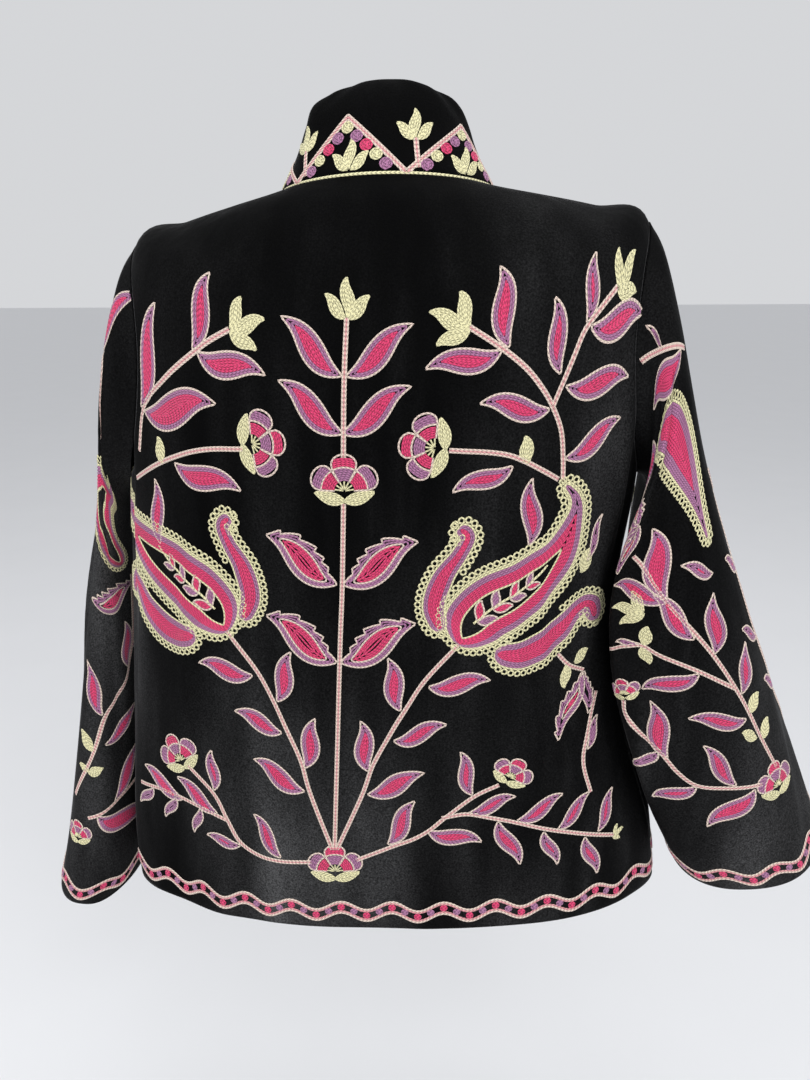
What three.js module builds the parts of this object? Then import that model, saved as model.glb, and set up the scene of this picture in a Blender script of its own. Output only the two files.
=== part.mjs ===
// A velvet kimono jacket, filled out as it is worn: a boxy body that widens to its hem, wide sleeves
// that hang beside it, and a stand collar whose top rolls in. Every piece of cloth is a thin wall.
//
// Millimetres, +Z up. The fronts face -Y and the wearer's left is +X. The origin is the middle of
// the neck, level with the collar seam at centre back.
import * as THREE from "three";

// ---- Sizes that drive the rest ----
const CLOTH = 2.4; // velvet with its inner layer
const SEAM_GAP = 0.3; // clear space between two pieces at a seam
const FRONT_GAP = 5; // between the two fronts, which meet edge to edge
// The jacket has slipped to the wearer's left and hangs lower there, by these shares of x.
const TILT = { hem: -0.055, neck: -0.015 };
const ARMHOLE = { back: 30, front: 32, roundness: 2.3 }; // widths in degrees round the body
const SHOULDER_SLOPE_CURVE = 1.5; // how quickly a ring drops from its sides to its back or front

const COLUMNS = { back: 26, front: 14, sleeve: 30, collar: 36 };
const ROWS = { body: 9, armhole: 9, shoulder: 5, sleeve: 22, collar: 12 };

// ---- The body, ring by ring from the hem up ----
// left, right: half widths. back, front: depths. square: 2 is an ellipse, more is boxier.
// side: height of the ring's two sides. rear, fore: how much higher its back and front are.
const BODY = [
  { ring: "hem", left: 264, right: 258, back: 132, front: 124, square: 2.6, side: -632, rear: 4, fore: 2 },
  { ring: "low", left: 262, right: 248, back: 127, front: 122, square: 2.6, side: -565, rear: 0, fore: -2 },
  { ring: "hip", left: 258, right: 230, back: 123, front: 119, square: 2.6, side: -495, rear: 0, fore: 0 },
  { ring: "waist", left: 251, right: 211, back: 119, front: 115, square: 2.6, side: -418, rear: 0, fore: 0 },
  { ring: "rib", left: 243, right: 204, back: 117, front: 113, square: 2.5, side: -335, rear: 0, fore: 0 },
  { ring: "underarm", left: 234, right: 213, back: 116, front: 112, square: 2.5, side: -242, rear: -6, fore: -8 },
  { ring: "chest", left: 223, right: 217, back: 114, front: 110, square: 2.4, side: -135, rear: -24, fore: -34 },
  { ring: "tip", left: 211, right: 208, back: 106, front: 100, square: 2.3, side: -36, rear: -64, fore: -94 },
  { ring: "slope", left: 168, right: 166, back: 98, front: 98, square: 2.2, side: -23, rear: -35, fore: -84 },
  { ring: "nape", left: 124, right: 122, back: 84, front: 90, square: 2.1, side: -13, rear: -9, fore: -73 },
  { ring: "neck", left: 85, right: 85, back: 68, front: 76, square: 2.0, side: -7, rear: 7, fore: -65 },
];
const ringAt = (name) => BODY.findIndex((row) => row.ring === name);
const UNDERARM = ringAt("underarm");
const TIP = ringAt("tip");
const NECK = ringAt("neck");

// The body's largest folds. at, wide: its middle and half width in degrees round the body.
// deep: how far it stands out, or in where negative. low, high: the rings it runs between.
const BODY_FOLDS = [
  { at: 62, wide: 13, deep: 5, low: -1, high: 2.6 },
  { at: 43, wide: 12, deep: -6, low: -1, high: 2.2 },
  { at: 14, wide: 15, deep: 3, low: -1, high: 3.6 },
  { at: -24, wide: 14, deep: -3, low: -1, high: 4.2 },
  { at: -50, wide: 13, deep: -5, low: 1.5, high: 5.6 },
  { at: -66, wide: 12, deep: 4, low: -1, high: 2.4 },
  { at: 118, wide: 13, deep: -5, low: -1, high: 3.2 },
  { at: 140, wide: 14, deep: 4, low: -1, high: 4.4 },
  { at: -122, wide: 13, deep: -5, low: -1, high: 3.8 },
  { at: -146, wide: 14, deep: 4, low: -1, high: 2.8 },
];

// ---- The sleeves, ring by ring from the armhole down ----
// out, outZ: the outer point. in, inZ: the point next to the body. mid: the middle, front to back.
// deep: half the width, front to back. heel: how much lower the back of the ring hangs.
// wrap: how far the inner back of the ring reaches round the body's corner.
const LEFT_SLEEVE = [
  { out: 211, outZ: -40, in: 234, inZ: -254, mid: 0, deep: 60, heel: 0, wrap: 0 },
  { out: 224, outZ: -60, in: 242, inZ: -259, mid: -4, deep: 62, heel: 0, wrap: 0 },
  { out: 236, outZ: -104, in: 248, inZ: -270, mid: -9, deep: 62, heel: 0, wrap: 0 },
  { out: 247, outZ: -164, in: 251, inZ: -286, mid: -14, deep: 62, heel: 0, wrap: 0 },
  { out: 260, outZ: -220, in: 254, inZ: -308, mid: -18, deep: 62, heel: 0, wrap: 0 },
  { out: 276, outZ: -280, in: 257, inZ: -343, mid: -22, deep: 63, heel: 0, wrap: 0 },
  { out: 294, outZ: -356, in: 261, inZ: -400, mid: -24, deep: 64, heel: 3, wrap: 0 },
  { out: 312, outZ: -442, in: 266, inZ: -470, mid: -22, deep: 66, heel: 6, wrap: 0 },
  { out: 330, outZ: -532, in: 270, inZ: -546, mid: -16, deep: 68, heel: 9, wrap: 0 },
  { out: 348, outZ: -616, in: 273, inZ: -620, mid: -10, deep: 70, heel: 12, wrap: 0 },
  { out: 362, outZ: -672, in: 276, inZ: -668, mid: -4, deep: 72, heel: 16, wrap: 0 },
];
const RIGHT_SLEEVE = [
  { out: 208, outZ: -32, in: 212, inZ: -232, mid: 0, deep: 60, heel: 0, wrap: 0 },
  { out: 220, outZ: -52, in: 221, inZ: -236, mid: 2, deep: 63, heel: 0, wrap: 4 },
  { out: 233, outZ: -96, in: 226, inZ: -246, mid: 6, deep: 67, heel: 0, wrap: 14 },
  { out: 247, outZ: -152, in: 224, inZ: -262, mid: 10, deep: 71, heel: 0, wrap: 28 },
  { out: 262, outZ: -210, in: 218, inZ: -290, mid: 17, deep: 74, heel: 0, wrap: 50 },
  { out: 283, outZ: -274, in: 214, inZ: -332, mid: 24, deep: 76, heel: 2, wrap: 72 },
  { out: 309, outZ: -340, in: 216, inZ: -384, mid: 28, deep: 76, heel: 5, wrap: 78 },
  { out: 337, outZ: -406, in: 226, inZ: -440, mid: 28, deep: 76, heel: 8, wrap: 72 },
  { out: 365, outZ: -472, in: 242, inZ: -500, mid: 26, deep: 76, heel: 12, wrap: 60 },
  { out: 388, outZ: -526, in: 257, inZ: -548, mid: 22, deep: 77, heel: 16, wrap: 42 },
  { out: 404, outZ: -562, in: 266, inZ: -580, mid: 18, deep: 78, heel: 20, wrap: 20 },
];
const SLEEVE_SQUARE = 2.3;

// The sleeves' largest folds. at is degrees round the sleeve: 0 outside, 90 at the back.
const LEFT_SLEEVE_FOLDS = [
  { at: 62, wide: 26, deep: -4, low: 1.5, high: 6.5 },
  { at: 20, wide: 24, deep: 3, low: 3, high: 8 },
  { at: 300, wide: 30, deep: -5, low: 3, high: 7.5 },
  { at: 110, wide: 26, deep: 4, low: 6, high: 11 },
];
const RIGHT_SLEEVE_FOLDS = [
  { at: 108, wide: 24, deep: -6, low: 2.5, high: 8 },
  { at: 70, wide: 26, deep: 4, low: 3, high: 8.5 },
  { at: 285, wide: 30, deep: -5, low: 2.5, high: 7 },
  { at: 40, wide: 28, deep: -4, low: 6, high: 11 },
];

// ---- The collar's profile, from its seam up over the roll ----
// rise: height over the neck seam. inset: how far in from it. lean: how far it moves to the front.
const COLLAR = [
  { rise: 0, inset: 0, lean: 0 },
  { rise: 16, inset: 8, lean: 0 },
  { rise: 33, inset: 15, lean: 1 },
  { rise: 49, inset: 20, lean: 3 },
  { rise: 61, inset: 25, lean: 5 },
  { rise: 67, inset: 31, lean: 6 },
  { rise: 64, inset: 37, lean: 6 },
  { rise: 50, inset: 39, lean: 5 },
];
const COLLAR_FRONT_RISE = 0.8; // the collar's height at the front, as a share of that at the back

const DEGREES = Math.PI / 180;
const VELVET = new THREE.MeshStandardMaterial({ color: 0x111214, roughness: 0.95, metalness: 0 });

// ---- Curves through the tables ----

// A smooth value through a column's entries, at a place given as a row number with a fraction.
function through(table, place, column) {
  const last = table.length - 1;
  const at = Math.min(Math.max(place, 0), last);
  const low = Math.min(Math.floor(at), last - 1);
  const pick = (row) => table[Math.min(Math.max(row, 0), last)][column];
  const [before, start, end, after] = [pick(low - 1), pick(low), pick(low + 1), pick(low + 2)];
  const part = at - low;
  const startSlope = low === 0 ? end - start : (end - before) / 2;
  const endSlope = low === last - 1 ? end - start : (after - start) / 2;
  const square = part * part;
  const cube = square * part;
  return (
    start * (2 * cube - 3 * square + 1) +
    startSlope * (cube - 2 * square + part) +
    end * (3 * square - 2 * cube) +
    endSlope * (cube - square)
  );
}

// How far out a ring of the given squareness reaches at an angle, where an ellipse reaches 1.
function reach(angle, square) {
  const across = Math.abs(Math.sin(angle)) ** square;
  const along = Math.abs(Math.cos(angle)) ** square;
  return (across + along) ** (-1 / square);
}

// How far the folds move the cloth out at an angle, in degrees, and a place.
function foldsAt(folds, degrees, place) {
  let sum = 0;
  for (const { at, wide, deep, low, high } of folds) {
    const off = Math.abs(((degrees - at + 540) % 360) - 180) / wide;
    const along = Math.abs((2 * place - low - high) / (high - low));
    if (off < 1 && along < 1) sum += (deep * (1 + Math.cos(Math.PI * off)) * (1 + Math.cos(Math.PI * along))) / 4;
  }
  return sum;
}

// A point of the body. The angle is 0 at centre back and 90 degrees at the wearer's left side.
function bodyPoint(angle, place) {
  const sine = Math.sin(angle);
  const cosine = Math.cos(angle);
  const out = reach(angle, through(BODY, place, "square"));
  const fold = foldsAt(BODY_FOLDS, angle / DEGREES, place);
  const x = sine * (out * through(BODY, place, sine > 0 ? "left" : "right") + fold);
  const y = cosine * (out * through(BODY, place, cosine > 0 ? "back" : "front") + fold);
  const lift = Math.abs(cosine) ** SHOULDER_SLOPE_CURVE * through(BODY, place, cosine > 0 ? "rear" : "fore");
  const tilt = TILT.hem + ((TILT.neck - TILT.hem) * place) / NECK;
  return new THREE.Vector3(x, y, through(BODY, place, "side") + lift + tilt * x);
}

// The outward normal of a surface given by a function of two numbers.
function normalOf(surface, u, v, stepU, stepV) {
  const across = surface(u + stepU, v).sub(surface(u - stepU, v));
  const up = surface(u, v + stepV).sub(surface(u, v - stepV));
  return across.cross(up).normalize();
}
const bodyNormal = (angle, place) =>
  normalOf(bodyPoint, angle, Math.min(Math.max(place, 0.01), NECK - 0.01), 0.01, 0.01).negate();

// The armhole's edge: its angle from the body's side, at a place between the underarm and the tip.
function armholeWidth(place, widest) {
  const share = (place - UNDERARM) / (TIP - UNDERARM);
  if (share <= 0 || share >= 1) return 0;
  return widest * DEGREES * (1 - Math.abs(2 * share - 1) ** ARMHOLE.roundness) ** (1 / ARMHOLE.roundness);
}

// ---- Walls ----

// Places from start to end, closer together at both ends.
function eased(start, end, steps) {
  const places = [];
  for (let i = 0; i <= steps; i++) places.push(start + ((end - start) * (1 - Math.cos((Math.PI * i) / steps))) / 2);
  return places;
}

// Places from start to end, evenly spread.
function even(start, end, steps) {
  const places = [];
  for (let i = 0; i <= steps; i++) places.push(start + ((end - start) * i) / steps);
  return places;
}

// A closed wall on a grid of middle points and normals: rows[j][i] = { point, normal }. A tube's
// rows close on themselves.
function wallOf(rows, tube) {
  const across = rows[0].length;
  const positions = [];
  const add = (side) => {
    for (const row of rows)
      for (const { point, normal } of row) {
        const moved = point.clone().addScaledVector(normal, (side * CLOTH) / 2);
        positions.push(moved.x, moved.y, moved.z);
      }
  };
  add(1);
  add(-1);
  const inner = rows.length * across;
  const faces = [];
  const quad = (a, b, c, d) => faces.push(a, b, c, a, c, d);
  const steps = tube ? across : across - 1;
  for (let j = 0; j < rows.length - 1; j++)
    for (let i = 0; i < steps; i++) {
      const a = j * across + i;
      const b = j * across + ((i + 1) % across);
      quad(a, b, b + across, a + across);
      quad(inner + a, inner + a + across, inner + b + across, inner + b);
    }
  const top = (rows.length - 1) * across;
  for (let i = 0; i < steps; i++) {
    const next = (i + 1) % across;
    quad(i, inner + i, inner + next, next);
    quad(top + i, top + next, inner + top + next, inner + top + i);
  }
  if (!tube)
    for (let j = 0; j < rows.length - 1; j++) {
      const a = j * across;
      const b = a + across - 1;
      quad(a, a + across, inner + a + across, inner + a);
      quad(b, inner + b, inner + b + across, b + across);
    }
  const geometry = new THREE.BufferGeometry();
  geometry.setAttribute("position", new THREE.Float32BufferAttribute(positions, 3));
  geometry.setIndex(faces);
  return geometry;
}

function meshOf(name, geometry) {
  geometry.computeVertexNormals();
  const mesh = new THREE.Mesh(geometry, VELVET.clone());
  mesh.name = name;
  return mesh;
}

// ---- The body's panels ----

const SEAM_TURN = SEAM_GAP / 2 / 100; // half the seam gap as a turn, on the tightest ring's radius
const BODY_PLACES = [
  ...even(0, UNDERARM, ROWS.body).slice(0, -1),
  ...eased(UNDERARM, TIP, ROWS.armhole).slice(0, -1),
  ...even(TIP, NECK - 0.01, ROWS.shoulder),
];

// A panel between two edges, each a function that gives the angle at a place.
function panel(name, fromEdge, toEdge, columns) {
  const rows = BODY_PLACES.map((place) =>
    even(fromEdge(place), toEdge(place), columns).map((angle) => ({
      point: bodyPoint(angle, place),
      normal: bodyNormal(angle, place),
    })),
  );
  return meshOf(name, wallOf(rows, false));
}

function backPanel() {
  const edge = (place) => Math.PI / 2 - armholeWidth(place, ARMHOLE.back) - SEAM_TURN;
  return panel("back", (place) => edge(place), (place) => -edge(place), COLUMNS.back);
}

function frontPanel(name, side) {
  const outer = (place) => Math.PI / 2 + armholeWidth(place, ARMHOLE.front) + SEAM_TURN;
  const inner = (place) => Math.PI - FRONT_GAP / 2 / through(BODY, place, side > 0 ? "left" : "right");
  if (side > 0) return panel(name, inner, outer, COLUMNS.front);
  return panel(name, (place) => -outer(place), (place) => -inner(place), COLUMNS.front);
}

// ---- The sleeves ----

// A sleeve ring's point. The turn is 0 at the outer point, a quarter at the back, and half at the body.
function sleevePoint(table, folds, turn, place) {
  const value = (column) => through(table, place, column);
  const cosine = Math.cos(turn);
  const sine = Math.sin(turn);
  const out = reach(turn, SLEEVE_SQUARE);
  const fold = foldsAt(folds, turn / DEGREES, place);
  const wrap = value("wrap") * Math.max(sine, 0) ** 2 * (1 - cosine) / 2;
  const x = (value("out") + value("in")) / 2 + ((value("out") - value("in")) / 2) * cosine * out - wrap + fold * cosine;
  const z = (value("outZ") + value("inZ")) / 2 + ((value("outZ") - value("inZ")) / 2) * cosine * out;
  const y = value("mid") + (value("deep") * out + fold) * sine;
  return new THREE.Vector3(x, y, z - value("heel") * sine);
}

// The armhole's edge on the body at a turn, with the direction that points into the hole.
function armholePoint(side, turn) {
  const share = (1 + Math.cos(turn)) / 2;
  const place = UNDERARM + (TIP - UNDERARM) * share;
  const behind = Math.sin(turn) >= 0;
  const widest = behind ? ARMHOLE.back : ARMHOLE.front;
  const at = (p) => {
    const width = armholeWidth(p, widest);
    return bodyPoint(side * (Math.PI / 2 + (behind ? -width : width)), p);
  };
  return at(Math.min(Math.max(place, UNDERARM), TIP));
}

function armholeEdge(side, turns) {
  const loop = turns.map((turn) => armholePoint(side, turn));
  const middle = loop.reduce((sum, point) => sum.add(point), new THREE.Vector3()).divideScalar(loop.length);
  const outward = new THREE.Vector3(side, 0, 0);
  return loop.map((point, i) => {
    const ahead = loop[(i + 1) % loop.length];
    const astern = loop[(i + loop.length - 1) % loop.length];
    const inward = ahead.clone().sub(astern).cross(outward).normalize();
    if (inward.dot(middle.clone().sub(point)) < 0) inward.negate();
    return { point, inward };
  });
}

const SLEEVE_HEAD = 3; // rings over which the armhole's shape turns into the sleeve's own
const SLEEVE_SET = 2; // how far outside the armhole's edge the sleeve starts

function sleeve(name, side, table, folds) {
  const turns = even(0, 2 * Math.PI, COLUMNS.sleeve).slice(0, -1);
  const places = even(0, table.length - 1, ROWS.sleeve);
  const edge = armholeEdge(side, turns);
  const ownRing = turns.map((turn) => sleevePoint(table, folds, turn, 0));
  const points = places.map((place) =>
    turns.map((turn, i) => {
      const point = sleevePoint(table, folds, turn, place);
      const carry = Math.max(0, 1 - place / SLEEVE_HEAD) ** 2;
      const fromEdge = edge[i].point.clone().addScaledVector(edge[i].inward, CLOTH / 2 + SEAM_GAP);
      fromEdge.x = fromEdge.x * side + SLEEVE_SET;
      point.addScaledVector(fromEdge.sub(ownRing[i]), carry);
      point.x *= side;
      return point;
    }),
  );
  const rows = points.map((ring, j) =>
    ring.map((point, i) => {
      const above = points[Math.max(j - 1, 0)][i];
      const below = points[Math.min(j + 1, points.length - 1)][i];
      const ahead = ring[(i + 1) % ring.length];
      const astern = ring[(i + ring.length - 1) % ring.length];
      const normal = ahead.clone().sub(astern).cross(below.clone().sub(above)).normalize();
      return { point, normal: normal.multiplyScalar(side) };
    }),
  );
  if (side < 0) rows.forEach((row) => row.reverse());
  return meshOf(name, wallOf(rows, true));
}

// ---- The collar ----

function collarPoint(angle, place) {
  const seam = bodyPoint(angle, NECK);
  const inward = new THREE.Vector3(-seam.x, -seam.y, 0).normalize();
  const frontShare = (1 - Math.cos(angle)) / 2;
  const height = 1 - (1 - COLLAR_FRONT_RISE) * frontShare;
  const point = seam.clone().addScaledVector(inward, through(COLLAR, place, "inset"));
  point.z += SEAM_GAP + CLOTH / 2 + through(COLLAR, place, "rise") * height;
  point.y -= through(COLLAR, place, "lean");
  return point;
}

function collar() {
  const end = Math.PI - FRONT_GAP / 2 / through(BODY, NECK, "left");
  const last = COLLAR.length - 1;
  const rows = even(0, last, ROWS.collar).map((place) =>
    even(end, -end, COLUMNS.collar).map((angle) => ({
      point: collarPoint(angle, place),
      normal: normalOf(collarPoint, angle, Math.min(Math.max(place, 0.01), last - 0.01), 0.01, 0.01).negate(),
    })),
  );
  return meshOf("collar", wallOf(rows, false));
}

// ---- The jacket ----

const jacket = new THREE.Group();
jacket.add(
  backPanel(),
  frontPanel("front_left", 1),
  frontPanel("front_right", -1),
  sleeve("sleeve_left", 1, LEFT_SLEEVE, LEFT_SLEEVE_FOLDS),
  sleeve("sleeve_right", -1, RIGHT_SLEEVE, RIGHT_SLEEVE_FOLDS),
  collar(),
);

export default jacket;
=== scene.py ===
"""The look of a velvet kimono jacket over its CAD frame: napped cloth with chain-stitch embroidery."""

from functools import partial

import bmesh
import bpy
import numpy as np
from mathutils import Matrix, Vector


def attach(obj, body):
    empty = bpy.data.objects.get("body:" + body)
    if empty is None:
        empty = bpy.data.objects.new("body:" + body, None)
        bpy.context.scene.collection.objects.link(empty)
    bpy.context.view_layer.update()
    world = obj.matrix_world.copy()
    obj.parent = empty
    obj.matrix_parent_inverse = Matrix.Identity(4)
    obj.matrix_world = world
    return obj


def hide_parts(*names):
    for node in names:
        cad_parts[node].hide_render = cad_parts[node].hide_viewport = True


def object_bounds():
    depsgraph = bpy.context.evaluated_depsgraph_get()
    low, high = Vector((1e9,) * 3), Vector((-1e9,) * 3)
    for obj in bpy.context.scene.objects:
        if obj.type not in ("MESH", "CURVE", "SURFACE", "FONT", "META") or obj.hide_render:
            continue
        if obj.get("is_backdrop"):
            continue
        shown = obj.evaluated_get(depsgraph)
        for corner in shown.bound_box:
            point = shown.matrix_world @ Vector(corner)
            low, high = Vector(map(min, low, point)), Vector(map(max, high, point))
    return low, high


MM = 0.001
SMALL = 1e-3  # a step along a surface, for its slopes

# ---- The jacket's sizes, in millimetres, as in the part's own source ----

CLOTH = 2.4
SEAM_GAP = 0.3
FRONT_GAP = 5.0
TILT_HEM, TILT_NECK = -0.055, -0.015
ARMHOLE_BACK, ARMHOLE_FRONT, ARMHOLE_ROUND = 30.0, 32.0, 2.3
SHOULDER_CURVE = 1.5
UNDERARM, TIP, NECK, CUFF, COLLAR_TOP = 5, 7, 10, 10, 7  # ring numbers
QUARTER = np.pi / 2


def table(names, *rows):
    """A table as one array for each named column."""
    return dict(zip(names.split(), np.array(rows, float).T))


# The body's rings from the hem up: half widths, depths, squareness, height at the sides, and how
# much higher the back and the front are.
BODY = table(
    "left right back front square side rear fore",
    (264, 258, 132, 124, 2.6, -632, 4, 2),
    (262, 248, 127, 122, 2.6, -565, 0, -2),
    (258, 230, 123, 119, 2.6, -495, 0, 0),
    (251, 211, 119, 115, 2.6, -418, 0, 0),
    (243, 204, 117, 113, 2.5, -335, 0, 0),
    (234, 213, 116, 112, 2.5, -242, -6, -8),
    (223, 217, 114, 110, 2.4, -135, -24, -34),
    (211, 208, 106, 100, 2.3, -36, -64, -94),
    (168, 166, 98, 98, 2.2, -23, -35, -84),
    (124, 122, 84, 90, 2.1, -13, -9, -73),
    (85, 85, 68, 76, 2.0, -7, 7, -65),
)

# The sleeves' rings from the armhole down: outer point, inner point, middle, half depth, how much
# lower the back hangs, and how far the inner back reaches round the body.
RING = "out out_z in in_z mid deep heel wrap"
LEFT_SLEEVE = table(
    RING,
    (211, -40, 234, -254, 0, 60, 0, 0),
    (224, -60, 242, -259, -4, 62, 0, 0),
    (236, -104, 248, -270, -9, 62, 0, 0),
    (247, -164, 251, -286, -14, 62, 0, 0),
    (260, -220, 254, -308, -18, 62, 0, 0),
    (276, -280, 257, -343, -22, 63, 0, 0),
    (294, -356, 261, -400, -24, 64, 3, 0),
    (312, -442, 266, -470, -22, 66, 6, 0),
    (330, -532, 270, -546, -16, 68, 9, 0),
    (348, -616, 273, -620, -10, 70, 12, 0),
    (362, -672, 276, -668, -4, 72, 16, 0),
)
RIGHT_SLEEVE = table(
    RING,
    (208, -32, 212, -232, 0, 60, 0, 0),
    (220, -52, 221, -236, 2, 63, 0, 4),
    (233, -96, 226, -246, 6, 67, 0, 14),
    (247, -152, 224, -262, 10, 71, 0, 28),
    (262, -210, 218, -290, 17, 74, 0, 50),
    (283, -274, 214, -332, 24, 76, 2, 72),
    (309, -340, 216, -384, 28, 76, 5, 78),
    (337, -406, 226, -440, 28, 76, 8, 72),
    (365, -472, 242, -500, 26, 76, 12, 60),
    (388, -526, 257, -548, 22, 77, 16, 42),
    (404, -562, 266, -580, 18, 78, 20, 20),
)
SLEEVE_SQUARE = 2.3
SLEEVE_HEAD = 3.0  # the rings over which a sleeve keeps something of the armhole's shape
SLEEVE_SET = 2.0  # how far out from the body it starts
HEAD_STEPS = 30  # the armhole's points

# Folds: middle and half width in degrees, how far out, from ring, to ring, and how many degrees the
# fold moves round over one ring.
FOLD = "at wide deep low high slant"
BODY_FOLDS = table(
    FOLD,
    (62, 13, 5, -1, 2.6, 0),
    (43, 12, -6, -1, 2.2, 0),
    (14, 15, 3, -1, 3.6, 0),
    (-24, 14, -3, -1, 4.2, 0),
    (-50, 13, -5, 1.5, 5.6, 0),
    (-66, 12, 4, -1, 2.4, 0),
    (118, 13, -5, -1, 3.2, 0),
    (140, 14, 4, -1, 4.4, 0),
    (-122, 13, -5, -1, 3.8, 0),
    (-146, 14, 4, -1, 2.8, 0),
)
LEFT_SLEEVE_FOLDS = table(
    FOLD,
    (62, 26, -4, 1.5, 6.5, 0),
    (20, 24, 3, 3, 8, 0),
    (300, 30, -5, 3, 7.5, 0),
    (110, 26, 4, 6, 11, 0),
)
RIGHT_SLEEVE_FOLDS = table(
    FOLD,
    (108, 24, -6, 2.5, 8, 0),
    (70, 26, 4, 3, 8.5, 0),
    (285, 30, -5, 2.5, 7, 0),
    (40, 28, -4, 6, 11, 0),
)

# The collar's profile from its seam over the roll: height, how far in, and how far to the front.
COLLAR = table(
    "rise inset lean",
    (0, 0, 0),
    (16, 8, 0),
    (33, 15, 1),
    (49, 20, 3),
    (61, 25, 5),
    (67, 31, 6),
    (64, 37, 6),
    (50, 39, 5),
)
COLLAR_FRONT_RISE = 0.8
SEAM_LAP, LAP_END = 3.0, 0.1  # how far the collar reaches down into the neck's seam, and up to which row


# ---- Curves and surfaces ----


def through(column, place):
    """A smooth value through a column's entries, at a row number with a fraction."""
    last = len(column) - 1
    at = np.clip(place, 0, last)
    low = np.minimum(np.floor(at).astype(int), last - 1)
    start, end = column[low], column[low + 1]
    before, after = column[np.maximum(low - 1, 0)], column[np.minimum(low + 2, last)]
    slope_0 = np.where(low == 0, end - start, (end - before) / 2)
    slope_1 = np.where(low == last - 1, end - start, (after - start) / 2)
    t = at - low
    t2, t3 = t * t, t * t * t
    bend = slope_0 * (t3 - 2 * t2 + t) + slope_1 * (t3 - t2)
    return start * (2 * t3 - 3 * t2 + 1) + end * (3 * t2 - 2 * t3) + bend


def reach(angle, square):
    """How far out a ring reaches at an angle, where an ellipse reaches 1."""
    return (np.abs(np.sin(angle)) ** square + np.abs(np.cos(angle)) ** square) ** (-1 / square)


def folds_at(folds, degrees, place):
    """How far the folds move the cloth out."""
    total = np.zeros(np.broadcast(degrees, place).shape)
    for at, wide, deep, low, high, slant in zip(*folds.values()):
        middle = at + slant * (place - (low + high) / 2)
        off = np.abs((degrees - middle + 540) % 360 - 180) / wide
        along = np.abs((2 * place - low - high) / (high - low))
        bump = (1 + np.cos(np.pi * off)) * (1 + np.cos(np.pi * along)) / 4
        total += np.where((off < 1) & (along < 1), deep * bump, 0)
    return total


def stack(x, y, z):
    return np.stack(np.broadcast_arrays(x, y, z), -1)


def either(test, one, other, place):
    """One column of the body's table where the test holds, and another elsewhere."""
    return np.where(test, through(BODY[one], place), through(BODY[other], place))


def body_point(angle, place, creases=None):
    """A point of the body. The angle is 0 at centre back and a quarter turn at the wearer's left."""
    sine, cosine = np.sin(angle), np.cos(angle)
    out = reach(angle, through(BODY["square"], place))
    fold = folds_at(BODY_FOLDS, np.degrees(angle), place)
    if creases is not None:
        fold = fold + folds_at(creases, np.degrees(angle), place)
    half = either(sine > 0, "left", "right", place)
    depth = either(cosine > 0, "back", "front", place)
    x = sine * (out * half + fold)
    y = cosine * (out * depth + fold)
    lift = either(cosine > 0, "rear", "fore", place)
    tilt = TILT_HEM + (TILT_NECK - TILT_HEM) * place / NECK
    z = through(BODY["side"], place) + np.abs(cosine) ** SHOULDER_CURVE * lift + tilt * x
    return stack(x, y, z)


def armhole_width(place, widest):
    """How far round from the body's side the armhole's edge is, from the underarm to the tip."""
    share = np.clip((place - UNDERARM) / (TIP - UNDERARM), 0, 1)
    return np.radians(widest) * (1 - np.abs(2 * share - 1) ** ARMHOLE_ROUND) ** (1 / ARMHOLE_ROUND)


def ring_point(sleeve, folds, turn, place):
    """A sleeve's own ring. The turn is 0 outside, a quarter at the back, and half at the body."""
    at = {name: through(column, place) for name, column in sleeve.items()}
    cosine, sine = np.cos(turn), np.sin(turn)
    out = reach(turn, SLEEVE_SQUARE)
    fold = folds_at(folds, np.degrees(turn), place)
    wrap = at["wrap"] * np.maximum(sine, 0) ** 2 * (1 - cosine) / 2
    x = (at["out"] + at["in"]) / 2 + (at["out"] - at["in"]) / 2 * cosine * out - wrap + fold * cosine
    z = (at["out_z"] + at["in_z"]) / 2 + (at["out_z"] - at["in_z"]) / 2 * cosine * out
    y = at["mid"] + (at["deep"] * out + fold) * sine
    return stack(x, y, z - at["heel"] * sine)


def armhole_point(side, turn):
    """The armhole's edge on the body."""
    place = UNDERARM + (TIP - UNDERARM) * (1 + np.cos(turn)) / 2
    behind = np.sin(turn) >= 0
    width = armhole_width(place, np.where(behind, ARMHOLE_BACK, ARMHOLE_FRONT))
    return body_point(side * (np.pi / 2 + np.where(behind, -width, width)), place)


def sleeve_start(side, turn):
    """Where a sleeve begins, just inside the armhole, with x positive on both sides."""
    step = 2 * np.pi / HEAD_STEPS
    edge = armhole_point(side, turn)
    along = armhole_point(side, turn + step) - armhole_point(side, turn - step)
    inward = np.cross(along, np.array([float(side), 0, 0]))
    inward /= np.linalg.norm(inward, axis=-1, keepdims=True)
    loop = armhole_point(side, np.arange(0, 2 * np.pi, step)).mean(0)
    inward *= np.where(((loop - edge) * inward).sum(-1, keepdims=True) < 0, -1, 1)
    start = edge + inward * (CLOTH / 2 + SEAM_GAP)
    start[..., 0] = start[..., 0] * side + SLEEVE_SET
    return start


def sleeve_point(side, sleeve, folds, turn, place, creases=None):
    """A point of a sleeve, whose first rings turn from the armhole's shape into its own."""
    turn, place = np.broadcast_arrays(turn, place)
    carry = np.maximum(0, 1 - place / SLEEVE_HEAD) ** 2
    point = ring_point(sleeve, folds, turn, place)
    if creases is not None:
        fold = folds_at(creases, np.degrees(turn), place)
        point = point + stack(fold * np.cos(turn), fold * np.sin(turn), 0 * fold)
    shift = sleeve_start(side, turn) - ring_point(sleeve, folds, turn, np.zeros(turn.shape))
    point = point + shift * carry[..., None]
    point[..., 0] *= side
    return point


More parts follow.
